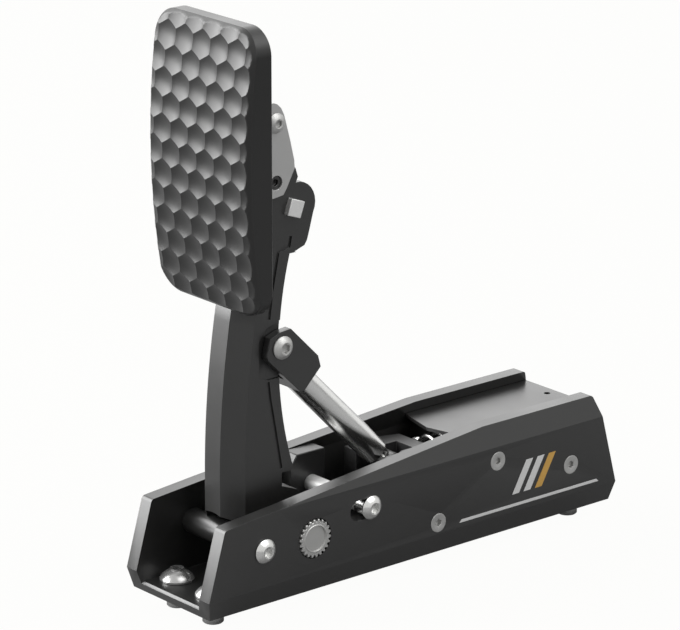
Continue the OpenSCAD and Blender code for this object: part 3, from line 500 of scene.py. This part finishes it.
# %% Push rod
ROD_START, ROD_RADIUS = 16, 6.25
ROD_TAPER, TIP_RADIUS = 4, 4.8
EYE_LENGTH = 7
rod_end = np.linalg.norm(PIN - FORK) - EYE_LENGTH
rod_rows = [
    (ROD_START, 0, 0),
    (ROD_START, ROD_RADIUS, 0),
    (rod_end - ROD_TAPER, ROD_RADIUS, 0),
    (rod_end, TIP_RADIUS, 0),
    (rod_end, 0, 0),
]
show("push_rod_turned", surface("push_rod", turned(rod_rows, FORK, PIN - FORK, 72)), polished_steel,
     "rod", "push_rod", sharp=12)
print("push rod:", round(rod_end - ROD_START, 1), "mm long")


# %% [markdown]
# ## The toothed knob
# The knob is a thin gear-like wheel let into the wall, with a sunk disc in its face. Its radius
# is a function of the angle, and each row of the profile says how much of the teeth it keeps.

# %% Knob
def knob_grid(x, y, z, teeth=22, root=7.7, tip=8.8, thick=3.0, ring=6.2):
    """Radius at an angle: between root and tip in a trapezoid wave, with a share for each row."""
    columns_per_tooth = 10
    columns = teeth * columns_per_tooth
    phase = np.arange(columns) / columns_per_tooth % 1
    wave = np.interp(phase, [0, 0.36, 0.52, 0.88, 1], [0, 0, 1, 1, 0])
    rows = np.array([(0, 0, 0), (0, tip, 1), (thick - 0.35, tip, 1), (thick, tip - 0.35, 1),
                     (thick, ring + 0.3, 0), (thick + 0.25, ring, 0),
                     (thick + 0.25, ring - 0.3, 0), (thick - 0.5, ring - 0.6, 0), (thick - 0.5, 0, 0)])
    height, radius, share = rows.T[:, :, None]
    radius = np.maximum(radius - share * (1 - wave) * (tip - root), 0)
    angle = np.arange(columns) * 2 * np.pi / columns
    across = np.broadcast_to(x + height, radius.shape)
    return placed(np.stack([across, y + radius * np.cos(angle), z + radius * np.sin(angle)], axis=-1))


knob = show("knob_turned", surface("knob", knob_grid(26.7, 58.8, 24.8)), zinc, "adjuster",
            "adjuster_knob")
print("knob:", len(knob.data.polygons), "faces")

# %% [markdown]
# ## The spring
# A coil spring is one wire carried along a helix. In the pedal it is pressed flat as the carriage
# moves, which is what a spring does. The piece is given a mesh of its own.


# %% Spring
def wire(path, out, radius, sides=14):
    """A circle at every point of a path, in the plane of `out` and the direction across both."""
    ahead = np.gradient(path, axis=0)
    side = np.cross(ahead, out)
    side /= np.linalg.norm(side, axis=1, keepdims=True)
    angle = np.arange(sides) * 2 * np.pi / sides
    ring = np.cos(angle)[:, None] * out[:, None] + np.sin(angle)[:, None] * side[:, None]
    rows = path[:, None] + radius * ring
    ends = [np.repeat(path[[end]], sides, axis=0)[None] for end in (0, -1)]
    return np.concatenate([ends[0], rows, ends[1]])


CURLS, COIL, WIRE = 7.7, 8.6, 1.4
SPRING_Y, SPRING_Z, SPRING_LENGTH = 144.7, 34, 49.6
along = np.linspace(0, CURLS, 350)
turns = np.pi / 2 + 2 * np.pi * along
out = np.stack([np.cos(turns), np.zeros_like(turns), np.sin(turns)], axis=1)
centre = np.stack([0 * along, SPRING_Y + SPRING_LENGTH * along / CURLS, SPRING_Z + 0 * along], axis=1)
helix = centre + COIL * out
spring = show("spring_wire", surface("spring_wire", placed(wire(helix, out, WIRE))), spring_steel,
              "base", "spring")
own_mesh(spring)
print("spring:", CURLS, "turns in", SPRING_LENGTH, "mm")

# %% [markdown]
# ## Stripes on the side walls
# The walls carry a plain painted pattern: a thin line low on the wall and three slanted bars.
# Paint could be a mask in the wall's material, but thin strips of their own keep crisp edges.


# %% Stripes
def strip(outline, way, lift=0.05):
    """Two copies of a [y, z] outline, one in the wall and one just proud of it, as a closed ring."""
    outline = np.asarray(outline, float)
    middle = outline.mean(axis=0)
    rows = [(outline * 0 + middle, -lift), (outline, -lift), (outline, lift), (outline * 0 + middle, lift)]
    return placed([np.column_stack([np.full(len(o), way * (OUTER + x)), o]) for o, x in rows])


def bar(y, low=17.5, high=32.5, width=4.2, lean=8.5):
    """The outline of a slanted bar whose low front corner is at y."""
    return [(y, low), (y + width, low), (y + width + lean, high), (y + lean, high)]


# a thin line with slanted ends, and three bars that start at y
line = [(143, 11.6), (229, 11.6), (227.6, 13), (144.4, 13)]
patterns = {
    "grey_stripes": (stripe_grey, [line, bar(175), bar(182)]),
    "gold_stripe": (stripe_gold, [bar(189)]),
}
for name, (paint, outlines) in patterns.items():
    grids = [strip(outline, way) for outline in outlines for way in (1, -1)]
    show(name, surface(name, *grids), paint, "base")
print("painted", len(patterns), "patterns on both walls")

# %% [markdown]
# ## The floor, the background and the light
# The photograph stands on white with only a breath of shadow. Turning the lamps up until the
# floor burns out would wash out the object, so the floor and the world are white by another
# way: Light Path tells camera rays and mirror rays from the rest. The camera sees the world
# white and the floor nearly white, so that the shadow stays. Mirrors see the white world but
# only a little of the floor, which keeps the black parts dark from below. All other rays see
# grey. One wide soft box in front on the left lights the object, with weak ones behind and above.


# %% World and floor
def seen_directly(tree, link, straight=1.0, mirrored=1.0):
    """Each kind of ray times its share, added up: camera and glass rays, then mirror rays."""
    path = tree.new("ShaderNodeLightPath")
    shares = {"Is Camera Ray": straight, "Is Transmission Ray": straight, "Is Glossy Ray": mirrored}
    total = None
    for name, share in shares.items():
        step = tree.new("ShaderNodeMath")
        step.operation = "MULTIPLY_ADD"
        step.use_clamp = True
        step.inputs[1].default_value = share
        step.inputs[2].default_value = 0
        link(path.outputs[name], step.inputs[0])
        if total:
            link(total, step.inputs[2])
        total = step.outputs[0]
    return total


WHITE = (1, 1, 0.99, 1)
WORLD_GREY = (0.22, 0.22, 0.224, 1)
FLOOR_GREY = (0.36, 0.36, 0.36, 1)
world = bpy.data.worlds.new("studio")
bpy.context.scene.world = world
world.use_nodes = True
tree, link = world.node_tree.nodes, world.node_tree.links.new
sky = tree["Background"]
sky.inputs["Strength"].default_value = 1.0
mix = tree.new("ShaderNodeMix")
mix.data_type = "RGBA"
mix.inputs["A"].default_value = WORLD_GREY
mix.inputs["B"].default_value = WHITE
link(seen_directly(tree, link), mix.inputs["Factor"])
link(mix.outputs["Result"], sky.inputs["Color"])

floor_mesh = bpy.data.meshes.new("floor")
# half the floor's width in metres
reach = 6.0
floor_mesh.from_pydata([(-reach, -reach, 0), (reach, -reach, 0), (reach, reach, 0), (-reach, reach, 0)],
                       [], [(0, 1, 2, 3)])
floor_paint = bpy.data.materials.new("floor_paint")
floor_paint.use_nodes = True
tree, link = floor_paint.node_tree.nodes, floor_paint.node_tree.links.new
shader = tree["Principled BSDF"]
shader.inputs["Base Color"].default_value = FLOOR_GREY
shader.inputs["Roughness"].default_value = 0.9
shader.inputs["Specular IOR Level"].default_value = 0.0
glow = tree.new("ShaderNodeEmission")
glow.inputs["Color"].default_value = WHITE
blend = tree.new("ShaderNodeMixShader")
link(seen_directly(tree, link, straight=0.97, mirrored=0.06), blend.inputs["Fac"])
link(shader.outputs["BSDF"], blend.inputs[1])
link(glow.outputs["Emission"], blend.inputs[2])
link(blend.outputs["Shader"], tree["Material Output"].inputs["Surface"])
floor_mesh.materials.append(floor_paint)
floor = bpy.data.objects.new("floor", floor_mesh)
bpy.context.scene.collection.objects.link(floor)
print("floor", 2 * reach, "m wide")


# %% Soft boxes
def soft_box(name, place, aim, size, watts):
    """A flat lamp of a width and height at a place, in metres, turned to face a point."""
    lamp = bpy.data.lights.new(name, "AREA")
    lamp.shape = "RECTANGLE"
    lamp.size, lamp.size_y = size
    lamp.energy = watts
    box = bpy.data.objects.new(name, lamp)
    away = np.asarray(place, float) - aim
    facing = Vector((-away).tolist()).to_track_quat("-Z", "Y")
    box.matrix_world = Matrix.Translation(place) @ facing.to_matrix().to_4x4()
    bpy.context.scene.collection.objects.link(box)
    return box


middle = placed((0, 110, 110))
soft_box("front_box", (-1.3, -1.2, 0.85), middle, (2.2, 1.65), 88)
soft_box("back_box", (-1.45, 1.25, 1.05), middle, (2.4, 1.5), 16)
soft_box("top_box", (0.7, 0.3, 1.3), middle, (1.2, 1.2), 13)

# %% [markdown]
# ## The end
# Standard is the view that shows a colour as it is written.

# %% The view transform
bpy.context.scene.view_settings.view_transform = "Standard"
